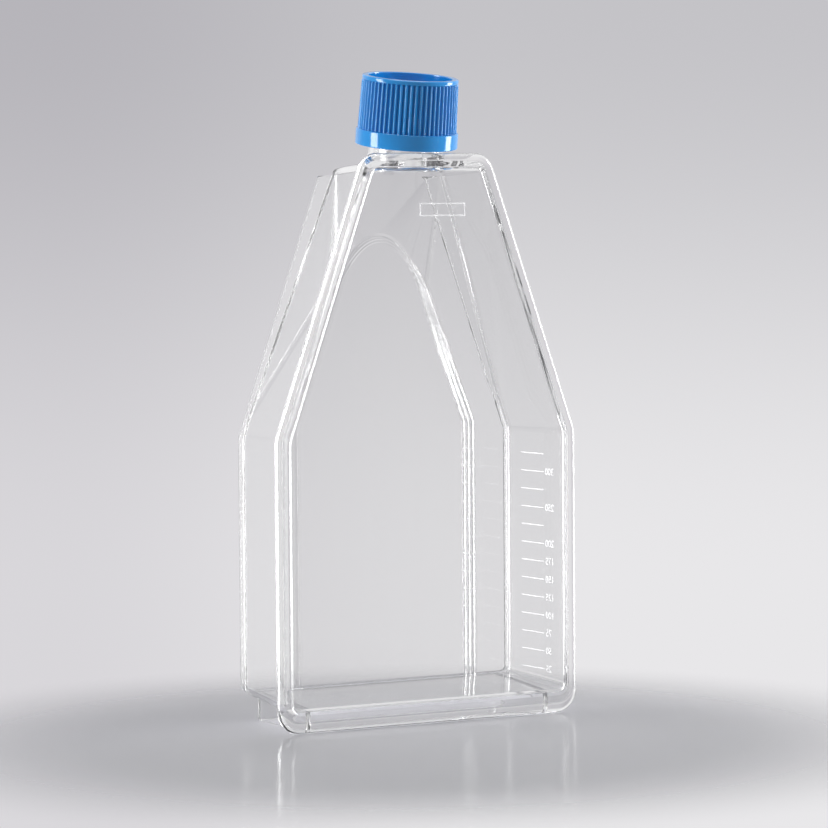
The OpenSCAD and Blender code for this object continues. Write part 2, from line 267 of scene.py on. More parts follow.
def lofted(name, rings):
    """A closed solid through rings of as many points: a filled circle is placed on the first ring and extruded to each next one."""
    clear_selection()
    bpy.ops.mesh.primitive_circle_add(vertices=len(rings[0]), radius=MM, fill_type="NGON")
    obj = bpy.context.object
    obj.name = obj.data.name = name
    bpy.ops.object.mode_set(mode="EDIT")
    bm = bmesh.from_edit_mesh(obj.data)
    bm.verts.ensure_lookup_table()
    order = list(range(len(rings[0])))
    for i, point in zip(order, rings[0]):
        bm.verts[i].co = point
    for ring in rings[1:]:
        bpy.ops.mesh.extrude_region()
        bm = bmesh.from_edit_mesh(obj.data)
        bm.verts.index_update()
        bm.verts.ensure_lookup_table()
        raised = []
        for i in order:
            v = bm.verts[i]
            raised.append(next(e.other_vert(v) for e in v.link_edges if e.other_vert(v).select))
        for v, point in zip(raised, ring):
            v.co = point
        order = [v.index for v in raised]
    bmesh.update_edit_mesh(obj.data)
    bpy.ops.mesh.select_all(action="SELECT")
    bpy.ops.mesh.remove_doubles(threshold=0.001 * MM)
    bpy.ops.mesh.normals_make_consistent(inside=False)
    bpy.ops.object.mode_set(mode="OBJECT")
    return obj


def combine(obj, other, operation):
    """Applies an exact boolean and removes the other object."""
    select(obj)
    mod = obj.modifiers.new(operation.title(), "BOOLEAN")
    mod.operation = operation
    mod.solver = "EXACT"
    mod.object = other
    bpy.ops.object.modifier_apply(modifier=mod.name)
    bpy.data.objects.remove(other)
    if not obj.data.polygons:
        raise RuntimeError(f"{obj.name} has no faces after {operation}")
    return obj


def smooth(obj, degrees):
    """Smooth shading up to an angle, with flat faces kept flat."""
    select(obj)
    bpy.ops.object.shade_smooth_by_angle(angle=math.radians(degrees))
    mod = obj.modifiers.new("Flat faces", "WEIGHTED_NORMAL")
    mod.keep_sharp = True
    mod.weight = 100
    bpy.ops.object.modifier_apply(modifier=mod.name)


def hand_over(obj, body, slot, material, *nodes):
    """Gives a finished piece its material and its body, and hides the CAD nodes it stands for."""
    obj.data.materials.clear()
    obj.data.materials.append(material)
    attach(obj, body)
    if nodes:
        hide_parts(*nodes)


# ---------------------------------------------------------------- outlines


def corner_arc(before, corner, after, radius, steps=ARC_STEPS):
    u, v = (before - corner).normalized(), (after - corner).normalized()
    half = math.acos(max(-1, min(1, u.dot(v)))) / 2
    centre = corner + (u + v).normalized() * radius / math.sin(half)
    start = corner + u * radius / math.tan(half) - centre
    end = corner + v * radius / math.tan(half) - centre
    turn = math.atan2(start.x * end.y - start.y * end.x, start.dot(end))
    points = []
    for k in range(steps + 1):
        a = turn * k / steps
        points.append(centre + Vector((start.x * math.cos(a) - start.y * math.sin(a),
                                       start.x * math.sin(a) + start.y * math.cos(a))))
    return points


def rounded(corners):
    """Outline through corners of (x, z, radius), with arcs at the corners."""
    flat = [Vector(c[:2]) for c in corners]
    n = len(flat)
    return [p for i in range(n)
            for p in corner_arc(flat[i - 1], flat[i], flat[(i + 1) % n], corners[i][2])]


def flask_outline(s, inset, bottom, foot_radius, top=None):
    """The flask's outline moved in by an inset, in x and z."""
    slope = (HALF_WIDTH - s.top_half) / (RIM_TOP - s.shoulder)
    w = HALF_WIDTH - inset
    sz = s.shoulder - inset * math.tan(math.atan(slope) / 2)
    tz = RIM_TOP - (inset if top is None else top)
    tw = w - (tz - sz) * slope
    r_top = max(s.corner - inset, s.wall)
    r_bend = max(s.bend - inset, s.wall)
    return rounded([(-w, bottom, foot_radius), (w, bottom, foot_radius), (w, sz, r_bend),
                    (tw, tz, r_top), (-tw, tz, r_top), (-w, sz, r_bend)])


def at_depth(outline, depth):
    return [(p.x, FRONT + depth, p.y) for p in outline]


def shell_ring(s, depth, inward):
    share = (depth - RIM_DEPTH) / (SKIRT_BACK - RIM_DEPTH)
    inset = s.front_inset + (s.back_inset - s.front_inset) * share
    bottom = s.end_front + (s.end_back - s.end_front) * share
    return at_depth(flask_outline(s, inset + inward, bottom + inward, max(4 * MM - inward, s.wall)), depth)


def on_neck(radius, angle, height):
    """A point round the neck's axis, at a height above the cap's base."""
    point = Vector((radius * math.cos(angle), radius * math.sin(angle), height))
    return NECK_BASE + Matrix.Rotation(NECK_TILT, 3, "X") @ point


def neck_rings(profile, count=96):
    return [[on_neck(r, 2 * math.pi * k / count, h) for k in range(count)] for r, h in profile]


def arch_edge(radius, half, crown_z, steps=12):
    """The arch from its right foot to its left, at a half width and a crown height."""
    side = [half * (1 - k / steps) for k in range(steps)]
    right = [(x, crown_z - x * x / (2 * radius)) for x in side]
    return right, [(-x, z) for x, z in reversed(right)]


def pad_outline(s, share):
    """The pad's outline from its bottom right corner round to its left, at a share of its slope's width."""
    out = share * s.pad_bevel
    w, crown = s.pad_half + out, s.arch_top - 1.6 * MM + out * 0.5
    right, _ = arch_edge(s.arch_radius + out * 0.3, s.pad_arch + out, crown)
    bend = corner_arc(Vector((w, 0)), Vector((w, s.shoulder + 2 * MM)), Vector(right[0]), 8 * MM)
    side = [(p.x, p.y) for p in bend] + right
    return [(w, 0), *side, (0, crown), *[(-x, z) for x, z in reversed(side)], (-w, 0)]


def growth_block(s, shift):
    """Everything in front of the growth wall, with its ramps and its raised pad."""
    depth = SKIRT_BACK - s.skirt - shift
    arch_height = 20.2 * MM
    crease_z = s.arch_top - arch_height
    crease_x = math.sqrt(2 * s.arch_radius * arch_height)
    share = (SKIRT_BACK - s.skirt - RIM_DEPTH) / (SKIRT_BACK - RIM_DEPTH)
    shoulder_x = HALF_WIDTH - (s.front_inset + (s.back_inset - s.front_inset) * share)
    ramp_z = RIM_TOP - s.front_inset + MM
    ramp_x, ramp_y = s.top_half - s.wall - s.front_inset, s.ramp_top - shift
    far, low, front = 90 * MM, -10 * MM, -MM
    a = Vector((shoulder_x, depth, s.shoulder))
    n = (Vector((crease_x, depth, crease_z)) - a).cross(Vector((ramp_x, ramp_y, ramp_z)) - a)
    far_y = a.y - (n.x * (far - a.x) + n.z * (ramp_z - a.z)) / n.y
    far_z = a.z - (far - a.x) * (crease_z - a.z) / (a.x - crease_x)
    right, left = arch_edge(s.arch_radius, crease_x, s.arch_top)
    crown = (0, s.arch_top)
    fan = len(right) + 1
    # The ramps fan out from their two top corners to the arch, so rings share those corners.
    flat = [(0, low), (far, low), (far, far_z), *right, crown, crown, *left, (-far, far_z), (-far, low)]
    top = [(0, low), (far, low), (far, ramp_z), *[(ramp_x, ramp_z)] * fan, *[(-ramp_x, ramp_z)] * fan,
           (-far, ramp_z), (-far, low)]
    depths = [depth, depth, far_y, *[ramp_y] * (2 * fan), far_y, depth]
    block = lofted("Growth block", [
        [(x, FRONT + front, z) for x, z in top],
        [(x, FRONT + y, z) for (x, z), y in zip(top, depths)],
        [(x, FRONT + depth, z) for x, z in flat]])

    # The pad stands up towards the front by a few small steps, and sinks from its bends to the arch's crown.
    first = pad_outline(s, 0.275 / s.pad_steps - 0.5)
    side, fold = first[1]

    def raised(outline, drop):
        points = []
        for x, z in outline:
            sink = max(0, z - fold) / (s.arch_top - fold) * 0.75
            points.append((x, FRONT + depth - s.pad_rise * (1 - drop) * (1 - sink), z))
        return points

    rings = [raised([(x if z < fold or abs(x) < s.pad_arch else math.copysign(side, x), min(z, fold))
                     for x, z in first], 0)]
    for step in range(s.pad_steps):
        for k in range(6):
            share = (step + 0.275 + 0.09 * k) / s.pad_steps - 0.5
            drop = (step + (1 - math.cos(math.pi * k / 5)) / 2) / s.pad_steps
            rings.append(raised(pad_outline(s, share), drop))
    rings.append([(x, FRONT + depth + MM, z) for x, z in pad_outline(s, 0.5)])
    return combine(block, lofted("Pad", rings), "DIFFERENCE")


# ---------------------------------------------------------------- materials


def clear_polystyrene(c):
    """Injection-moulded crystal polystyrene: water-clear, high gloss, with faint flow waves in the skin."""
    mat, t = new_material("Clear moulded polystyrene")
    place = add_node(t, "ShaderNodeTexCoord")
    # Flow waves about 30 mm long, a few hundredths of a degree steep.
    waves = add_node(t, "ShaderNodeTexNoise", inputs={
        "Vector": place.outputs["Object"], "Scale": 1 / (30 * MM), "Detail": 1.0})
    bump = add_node(t, "ShaderNodeBump", inputs={
        "Strength": 0.02, "Distance": 0.2 * MM, "Height": waves.outputs["Fac"]})
    skin = add_node(t, "ShaderNodeBsdfPrincipled", inputs={
        "Base Color": linear(c.plastic), "Roughness": 0.015, "IOR": 1.59,
        "Transmission Weight": 1.0, "Normal": bump.outputs["Normal"]})
    # Lamps shine through the thin walls, so that the shadow stays faint.
    through = add_node(t, "ShaderNodeBsdfTransparent", inputs={"Color": (0.93, 0.93, 0.94, 1)})
    path = add_node(t, "ShaderNodeLightPath")
    mix = add_node(t, "ShaderNodeMixShader", inputs={
        0: path.outputs["Is Shadow Ray"], 1: skin.outputs["BSDF"], 2: through.outputs["BSDF"]})
    add_node(t, "ShaderNodeOutputMaterial", inputs={"Surface": mix.outputs["Shader"]})
    return mat


def blue_polypropylene(c):
    """Injection-moulded polypropylene: satin gloss, a little waxy, with a fine spark-eroded texture."""
    mat, t = new_material("Blue moulded polypropylene")
    place = add_node(t, "ShaderNodeTexCoord")
    grain = add_node(t, "ShaderNodeTexNoise", inputs={
        "Vector": place.outputs["Object"], "Scale": 1 / (0.25 * MM), "Detail": 2.0})
    bump = add_node(t, "ShaderNodeBump", inputs={
        "Strength": 0.06, "Distance": 0.02 * MM, "Height": grain.outputs["Fac"]})
    cloud = add_node(t, "ShaderNodeTexNoise", inputs={
        "Vector": place.outputs["Object"], "Scale": 1 / (9 * MM), "Detail": 2.0})
    gloss = add_node(t, "ShaderNodeMapRange", inputs={
        "Value": cloud.outputs["Fac"], "To Min": 0.08, "To Max": 0.14})
    deep = Vector(linear(c.cap)[:3]) * 0.9
    tint = add_node(t, "ShaderNodeMix", {"data_type": "RGBA"}, {
        0: cloud.outputs["Fac"], 6: linear(c.cap), 7: (*deep, 1)})
    skin = add_node(t, "ShaderNodeBsdfPrincipled", inputs={
        "Base Color": tint.outputs[2], "Roughness": gloss.outputs["Result"], "IOR": 1.49,
        "Specular IOR Level": 0.7, "Subsurface Weight": 0.08, "Subsurface Radius": (0.4, 0.7, 1.0),
        "Subsurface Scale": 1.5 * MM,
        "Normal": bump.outputs["Normal"]})
    add_node(t, "ShaderNodeOutputMaterial", inputs={"Surface": skin.outputs["BSDF"]})
    return mat


def filter_film(c):
    """Stretched PTFE film: chalk white and matt, with a fine random fibre texture."""
    mat, t = new_material("White stretched PTFE film")
    place = add_node(t, "ShaderNodeTexCoord")
    fibre = add_node(t, "ShaderNodeTexNoise", inputs={
        "Vector": place.outputs["Object"], "Scale": 1 / (0.4 * MM), "Detail": 4.0, "Distortion": 1.5})
    bump = add_node(t, "ShaderNodeBump", inputs={
        "Strength": 0.4, "Distance": 0.05 * MM, "Height": fibre.outputs["Fac"]})
    shade = add_node(t, "ShaderNodeMix", {"data_type": "RGBA"}, {
        0: fibre.outputs["Fac"], 6: linear(c.filter), 7: linear("#d8d8d2")})
    skin = add_node(t, "ShaderNodeBsdfPrincipled", inputs={
        "Base Color": shade.outputs[2], "Roughness": 0.85, "Normal": bump.outputs["Normal"]})
    add_node(t, "ShaderNodeOutputMaterial", inputs={"Surface": skin.outputs["BSDF"]})
    return mat


def screen_ink(c):
    """Screen-printed white ink: thin, semi-matt, slightly uneven in cover."""
    mat, t = new_material("White screen-printed ink")
    place = add_node(t, "ShaderNodeTexCoord")
    cover = add_node(t, "ShaderNodeTexNoise", inputs={
        "Vector": place.outputs["Object"], "Scale": 1 / (0.6 * MM), "Detail": 3.0})
    shade = add_node(t, "ShaderNodeMix", {"data_type": "RGBA"}, {
        0: cover.outputs["Fac"], 6: linear(c.ink), 7: linear("#dcdcdc")})
    skin = add_node(t, "ShaderNodeBsdfPrincipled", inputs={
        "Base Color": shade.outputs[2], "Roughness": 0.5, "Subsurface Weight": 1.0,
        "Subsurface Radius": (1.0, 1.0, 1.0), "Subsurface Scale": 0.5 * MM})
    add_node(t, "ShaderNodeOutputMaterial", inputs={"Surface": skin.outputs["BSDF"]})
    return mat


def table_sheet(c):
    """Grey acrylic sheet: smooth and glossy, with a faint haze, melting into the backdrop further out."""
    mat, t = new_material("Grey cast acrylic sheet")
    place = add_node(t, "ShaderNodeTexCoord")
    haze = add_node(t, "ShaderNodeTexNoise", inputs={
        "Vector": place.outputs["Object"], "Scale": 1 / (60 * MM), "Detail": 2.0})
    gloss = add_node(t, "ShaderNodeMapRange", inputs={
        "Value": haze.outputs["Fac"], "To Min": 0.1, "To Max": 0.16})
    skin = add_node(t, "ShaderNodeBsdfPrincipled", inputs={
        "Base Color": linear(c.table), "Roughness": 0.6, "Specular IOR Level": 0.0})
    # The sheet mirrors only what is seen low along it.
    mirror = add_node(t, "ShaderNodeBsdfAnisotropic", inputs={"Roughness": gloss.outputs["Result"]})
    low = add_node(t, "ShaderNodeLayerWeight", inputs={"Blend": 0.5})
    share = add_node(t, "ShaderNodeMapRange", inputs={
        "Value": low.outputs["Facing"], "From Min": 0.77, "From Max": 0.9, "To Max": 0.4})
    top = add_node(t, "ShaderNodeMixShader", inputs={
        0: share.outputs["Result"], 1: skin.outputs["BSDF"], 2: mirror.outputs["BSDF"]})
    yaw = math.radians(29.0)
    off = add_node(t, "ShaderNodeVectorMath", {"operation": "ADD"}, {
        0: place.outputs["Object"], 1: Vector((math.sin(yaw), math.cos(yaw), 0)) * 0.05})
    far = add_node(t, "ShaderNodeVectorMath", {"operation": "LENGTH"}, {0: off.outputs["Vector"]})
    fade = add_node(t, "ShaderNodeMapRange", {"interpolation_type": "SMOOTHSTEP"}, {
        "Value": far.outputs["Value"], "From Min": 0.1, "From Max": 0.21})
    beyond = add_node(t, "ShaderNodeBsdfTransparent")
    mix = add_node(t, "ShaderNodeMixShader", inputs={
        0: fade.outputs["Result"], 1: top.outputs["Shader"], 2: beyond.outputs["BSDF"]})
    add_node(t, "ShaderNodeOutputMaterial", inputs={"Surface": mix.outputs["Shader"]})
    return mat


# ---------------------------------------------------------------- operators


class FLASK_OT_top_plate(bpy.types.Operator):
    """Builds the flat front plate with its rounded rim"""
    bl_idname = "flask.top_plate"
    bl_label = "Top plate"

    def execute(self, context):
        s, c = context.scene.flask_sizes, context.scene.flask_colours
        r = s.rim_round

        def outer(inset, depth, broad):
            # The roundings are broader along the bottom, where the rim's face is wider too.
            return at_depth(flask_outline(s, inset, inset * broad, s.corner - inset), depth)

        def inner(step, depth):
            inset = s.rim_width + step
            return at_depth(flask_outline(s, inset, s.rim_foot + step, max(s.corner - inset, 2.4 * MM),
                                          inset + 0.6 * MM), depth)

        rings = []
        for k in range(6):
            a = math.pi / 2 * k / 5
            rings.append(outer(s.rim_back * (1 - math.sin(a)), RIM_DEPTH - s.rim_back * (1 - math.cos(a)), 5.5))
        for k in range(9):
            a = math.pi / 2 * k / 8
            rings.append(outer(s.rim_crown * (1 - math.cos(a)), r * (1 - math.sin(a)), s.rim_foot / s.rim_width))
        lip = 0.45 * MM
        for share, drop in ((0, 0), (0.5, 0.1), (1.0, 0.32)):
            rings.append(inner(share * lip, drop * s.rim_step))
        rings.append(inner(0.95 * MM, 0.7 * s.rim_step))
        rings.append(inner(1.25 * MM, 0.9 * s.rim_step))
        rings.append(inner(1.65 * MM, s.rim_step))
        plate = lofted("Top_plate", rings)
        smooth(plate, 35)
        hand_over(plate, "flask", "clear_polystyrene", clear_polystyrene(c), "top_plate")
        return {"FINISHED"}


class FLASK_OT_body(bpy.types.Operator):
    """Builds the moulded shell with its growth wall, skirt, foot and neck"""
    bl_idname = "flask.body"
    bl_label = "Flask body"

    def execute(self, context):
        s = context.scene.flask_sizes
        joint = RIM_DEPTH + 0.02 * MM
        shell = lofted("Flask_body", [shell_ring(s, joint, 0), shell_ring(s, SKIRT_BACK, 0)])

        behind = lofted("Skirt space", [shell_ring(s, 20 * MM, s.wall), shell_ring(s, SKIRT_BACK + MM, s.wall)])
        open_top = RIM_TOP - s.back_inset - s.wall - 0.2 * MM
        above = lofted("Open top", [
            [(x, FRONT + y, open_top) for x, y in ((-0.08, 0.02), (0.08, 0.02), (0.08, 0.06), (-0.08, 0.06))],
            [(x, FRONT + y, 0.22) for x, y in ((-0.08, 0.02), (0.08, 0.02), (0.08, 0.06), (-0.08, 0.06))]])
        combine(behind, above, "UNION")
        combine(behind, growth_block(s, 0), "DIFFERENCE")
        combine(shell, behind, "DIFFERENCE")

        soft = 0.5 * MM
        neck = lofted("Neck", neck_rings([
            (s.collar, -12 * MM), (s.collar, 0.7 * MM), (s.collar - 0.1 * MM, 1.0 * MM),
            (s.neck, 1.2 * MM), (s.neck, s.lip - soft), (s.neck - 0.13 * soft, s.lip - 0.5 * soft),
            (s.neck - 0.5 * soft, s.lip - 0.13 * soft), (s.neck - soft, s.lip)]))
        combine(shell, neck, "UNION")

        combine(shell, self.foot(s), "UNION")

        vessel = lofted("Vessel", [shell_ring(s, RIM_DEPTH - MM, s.wall), shell_ring(s, SKIRT_BACK - MM, s.wall)])
        combine(vessel, growth_block(s, s.growth_wall), "INTERSECT")
        combine(shell, vessel, "DIFFERENCE")
        bore = lofted("Bore", neck_rings([
            (s.bore, -13 * MM), (s.bore, s.lip - 0.5 * soft), (s.bore + 0.3 * soft, s.lip),
            (s.bore + 0.6 * soft, s.lip + MM)]))
        combine(shell, bore, "DIFFERENCE")
        self.round_edges(s, shell)
        combine(shell, self.thread(s), "UNION")
        smooth(shell, 35)
        hand_over(shell, "flask", "clear_polystyrene", bpy.data.materials["Clear moulded polystyrene"], "flask_body")
        return {"FINISHED"}

    def foot(self, s):
        """The low foot: three walls open to the front, with a rounded edge on the bench."""
        def outline(inset):
            w, t, front = s.foot_half, s.foot_wall, RIM_DEPTH + 0.3 * MM + inset
            out, inn, back = w - inset, w - t + inset, SKIRT_BACK - inset
            end, bend = 0.6 * MM - inset, 1.5 * MM + inset
            inner = SKIRT_BACK - t + inset
            return rounded([(-out, front, end), (-inn, front, end), (-inn, inner, bend), (inn, inner, bend),
                            (inn, front, end), (out, front, end), (out, back, 3.5 * MM - inset),
                            (-out, back, 3.5 * MM - inset)])

        soft, rings = 0.3 * MM, []
        for k in range(4):
            a = math.pi / 2 * k / 3
            rings.append((soft * (1 - math.sin(a)), soft * (1 - math.cos(a))))
        rings.append((0, s.end_back + s.wall / 2))
        return lofted("Foot", [[(p.x, FRONT + p.y, z) for p in outline(inset)] for inset, z in rings])

    def round_edges(self, s, shell):
        """Rounds each moulded edge by its kind."""
        widest = 0.7 * MM
        open_top = RIM_TOP - s.back_inset - s.wall - 0.2 * MM
        select(shell)
        bpy.ops.object.mode_set(mode="EDIT")
        bpy.ops.mesh.select_all(action="SELECT")
        bpy.ops.mesh.remove_doubles(threshold=0.005 * MM)
        bm = bmesh.from_edit_mesh(shell.data)
        weights = bm.edges.layers.float.get("bevel_weight_edge") or bm.edges.layers.float.new("bevel_weight_edge")
        growth = SKIRT_BACK - s.skirt
        for e in bm.edges:
            if len(e.link_faces) != 2:
                continue
            angle = math.degrees(e.calc_face_angle(0))
            p = (e.verts[0].co + e.verts[1].co) / 2
            depth = p.y - FRONT
            if angle < 12 or depth < RIM_DEPTH + 0.2 * MM:
                continue
            if (p - NECK_BASE).dot(NECK_AXIS) > 0.5 * MM:
                continue
            if p.z > open_top - 1.5 * MM or (p.z < s.end_back + 2 * MM and depth > growth):
                continue
            if p.z < s.end_front - 0.5 * MM:
                continue
            radius = 0.4 * MM
            if angle < 30 and depth > 25 * MM:
                radius = widest
            elif depth > SKIRT_BACK - 0.3 * MM:
                radius = 0.35 * MM
            e[weights] = radius / widest
        bmesh.update_edit_mesh(shell.data)
        bpy.ops.object.mode_set(mode="OBJECT")
        mod = shell.modifiers.new("Moulded edges", "BEVEL")
        mod.limit_method = "WEIGHT"
        mod.width = widest
        mod.segments = 3
        mod.use_clamp_overlap = False
        mod.miter_outer = "MITER_ARC"
        bpy.ops.object.modifier_apply(modifier=mod.name)

    def thread(self, s):
        """The right-handed thread of one and a half turns, as one closed ridge."""
        turns, per_turn, start = 1.5, 48, 4.2 * MM
        steps = int(turns * per_turn)
        root, crest, high, sunk = 0.8 * MM, 0.35 * MM, 1.1 * MM, 0.3 * MM
        rings = []
        for i in range(steps + 1):
            a = 2 * math.pi * i / per_turn
            z = start + s.thread_lead * i / per_turn
            grow = min(1, i / 8 - 0.15, (steps - i) / 8 - 0.15)
            inner, outer = s.neck - sunk, s.neck + high * grow
            rings.append([on_neck(inner, a, z - root), on_neck(outer, a, z - crest),
                          on_neck(outer, a, z + crest), on_neck(inner, a, z + root)])
        return lofted("Thread", rings)


class FLASK_OT_cap(bpy.types.Operator):
    """Builds the ribbed screw cap with its recess, vent holes and seal"""
    bl_idname = "flask.cap"
    bl_label = "Screw cap"

    def execute(self, context):
        s, c = context.scene.flask_sizes, context.scene.flask_colours
        per_rib = 10
        count = s.ribs * per_rib
        # Height of the rib's surface over one pitch: a groove and a rounded crown.
        shape = (0.0, 0.0, 0.2, 0.6, 0.88, 0.98, 0.98, 0.88, 0.6, 0.2)

        def plain(radius, height):
            return [on_neck(radius, 2 * math.pi * k / count, height) for k in range(count)]

        def ribbed(radius, height, share=1.0):
            return [on_neck(radius - s.rib_depth * (1 - share * shape[k % per_rib]), 2 * math.pi * k / count, height)
                    for k in range(count)]

        h, ring, top = s.cap_height, s.ring_height, s.rib_head
        bore, floor, floor_top = 14.6 * MM, 18.1 * MM, 19.6 * MM
        band = h - 1.5 * MM
        recess = 14.7 * MM
        rings = [plain(2 * MM, floor), plain(bore - 0.3 * MM, floor), plain(bore, floor - 0.3 * MM),
                 plain(bore, 0.6 * MM), plain(bore + 0.35 * MM, 0.1 * MM), plain(bore + 0.7 * MM, 0),
                 plain(s.ring - 0.45 * MM, 0), plain(s.ring - 0.13 * MM, 0.13 * MM), plain(s.ring, 0.45 * MM),
                 plain(s.ring - 0.03 * MM, ring - 0.5 * MM), plain(s.ring - 0.15 * MM, ring - 0.15 * MM),
                 plain(s.ring - 0.45 * MM, ring),
                 ribbed(s.rib_foot, ring + 0.02 * MM), ribbed(s.rib_foot, ring + 0.25 * MM),
                 ribbed(top, band - 0.45 * MM), ribbed(top, band - 0.15 * MM, 0.7), plain(top - 0.1 * MM, band),
                 plain(top - 0.02 * MM, band + 0.3 * MM), plain(top - 0.05 * MM, h - 0.5 * MM),
                 plain(top - 0.2 * MM, h - 0.15 * MM), plain(top - 0.55 * MM, h),
                 plain(recess + 0.45 * MM, h), plain(recess + 0.12 * MM, h - 0.12 * MM), plain(recess, h - 0.45 * MM),
                 plain(recess - 0.1 * MM, floor_top + 0.5 * MM), plain(recess - 0.6 * MM, floor_top),
                 plain(2 * MM, floor_top)]
        cap = lofted("Screw_cap", rings)
        for k in range(6):
            a = math.pi / 3 * k
            centre = on_neck(5.4 * MM, a, 0) - NECK_BASE
            hole = lofted("Vent", [[p + centre for p in ring] for ring in neck_rings(
                [(1.75 * MM, floor - MM), (1.6 * MM, floor + 0.3 * MM), (1.6 * MM, floor_top - 0.2 * MM),
                 (1.85 * MM, floor_top + 0.05 * MM), (1.9 * MM, floor_top + MM)], 32)])
            combine(cap, hole, "DIFFERENCE")
        seal = lofted("Seal", neck_rings([
            (10.75 * MM, floor + 0.2 * MM), (10.75 * MM, 15.2 * MM), (10.6 * MM, 14.7 * MM), (10.3 * MM, 14.5 * MM)]))
        hollow = lofted("Seal space", neck_rings([(9.85 * MM, floor + 0.3 * MM), (9.85 * MM, 14 * MM)]))
        combine(seal, hollow, "DIFFERENCE")
        parts = [seal, self.thread(s, bore)]
        select(cap)
        for part in parts:
            part.select_set(True)
        bpy.ops.object.join()
        smooth(cap, 50)
        hand_over(cap, "cap", "cap_plastic", blue_polypropylene(c), "cap")
        return {"FINISHED"}

    def thread(self, s, bore):
        turns, per_turn, start = 1.5, 48, 6.2 * MM
        steps = int(turns * per_turn)
        root, crest, high, sunk = 0.8 * MM, 0.35 * MM, 1.1 * MM, 0.3 * MM
        rings = []
        for i in range(steps + 1):
            a = 2 * math.pi * i / per_turn
            z = start + s.thread_lead * i / per_turn
            grow = min(1, i / 8 - 0.15, (steps - i) / 8 - 0.15)
            outer, inner = bore + sunk, bore - high * grow
            rings.append([on_neck(outer, a, z - root), on_neck(inner, a, z - crest),
                          on_neck(inner, a, z + crest), on_neck(outer, a, z + root)])
        return lofted("Cap thread", rings)


class FLASK_OT_marks(bpy.types.Operator):
    """Prints the volume scale on the side and the bare frame on the front"""
    bl_idname = "flask.marks"
    bl_label = "Printed marks"

    def execute(self, context):
        s, c = context.scene.flask_sizes, context.scene.flask_colours
        ink = screen_ink(c)
        thick = 0.03 * MM

        def side_x(depth):
            share = (depth - RIM_DEPTH) / (SKIRT_BACK - RIM_DEPTH)
            return HALF_WIDTH - s.front_inset - (s.back_inset - s.front_inset) * share

        def on_side(depth, z, out):
            return (side_x(depth) + out, FRONT + depth, z)

        parts = []
        for volume in range(25, 326, 25):
            z = (7.5 + 0.26 * volume) * MM
            near, far = 16.6 * MM, 30.5 * MM
            half = 0.17 * MM
            bar = [(near, z - half), (far, z - half), (far, z + half), (near, z + half)]
            parts.append(lofted("Tick", [[on_side(d, h, 0.01 * MM) for d, h in bar],
                                         [on_side(d, h, 0.01 * MM + thick) for d, h in bar]]))
            if volume in (225, 275, 325):
                continue
            clear_selection()
            bpy.ops.object.text_add()
            number = bpy.context.object
            number.data.body = str(volume)
            number.data.size = 3.6 * MM
            number.data.align_x = "RIGHT"
            number.data.align_y = "CENTER"
            number.data.extrude = thick / 2
            number.data.resolution_u = 4
            bpy.ops.object.convert(target="MESH")
            number = bpy.context.object
            lean = math.atan((s.back_inset - s.front_inset) / (SKIRT_BACK - RIM_DEPTH))
            right = Vector((-math.sin(lean), math.cos(lean), 0))
            up = Vector((0, 0, 1))
            out = right.cross(up)
            turn = Matrix((right, up, out)).transposed().to_4x4()
            turn.translation = Vector(on_side(15.6 * MM, z, 0.01 * MM)) + out * thick / 2
            number.data.transform(turn)
            parts.append(number)
        scale = parts[0]
        select(scale)
        for part in parts[1:]:
            part.select_set(True)
        bpy.ops.object.join()
        scale.name = scale.data.name = "Volume_scale"
        hand_over(scale, "flask", "clear_polystyrene", ink)

        face = FRONT + s.rim_step - 0.05 * MM
        frame_box = (-3.2 * MM, 15.0 * MM, 178.0 * MM, 182.6 * MM)
        line = 0.42 * MM
        x0, x1, z0, z1 = frame_box
        bars = []
        for a, b, low, high in ((x0, x1, z0, z0 + line), (x0, x1, z1 - line, z1),
                                (x0, x0 + line, z0 + line, z1 - line), (x1 - line, x1, z0 + line, z1 - line)):
            corners = [(a, low), (b, low), (b, high), (a, high)]
            bars.append(lofted("Bar", [[(x, face + d, z) for x, z in corners] for d in (0, 0.045 * MM)]))
        mark = bars[0]
        select(mark)
        for bar in bars[1:]:
            bar.select_set(True)
        bpy.ops.object.join()
        mark.name = mark.data.name = "Bare_frame"
        hand_over(mark, "flask", "clear_polystyrene", ink)
        return {"FINISHED"}


class FLASK_OT_filter(bpy.types.Operator):
    """Gives the filter disc its film"""
    bl_idname = "flask.filter"
    bl_label = "Filter film"

    def execute(self, context):
        film = filter_film(context.scene.flask_colours)
        node = frame["nodes"]["vent_membrane"]
        node.data.materials.clear()
        node.data.materials.append(film)
        return {"FINISHED"}


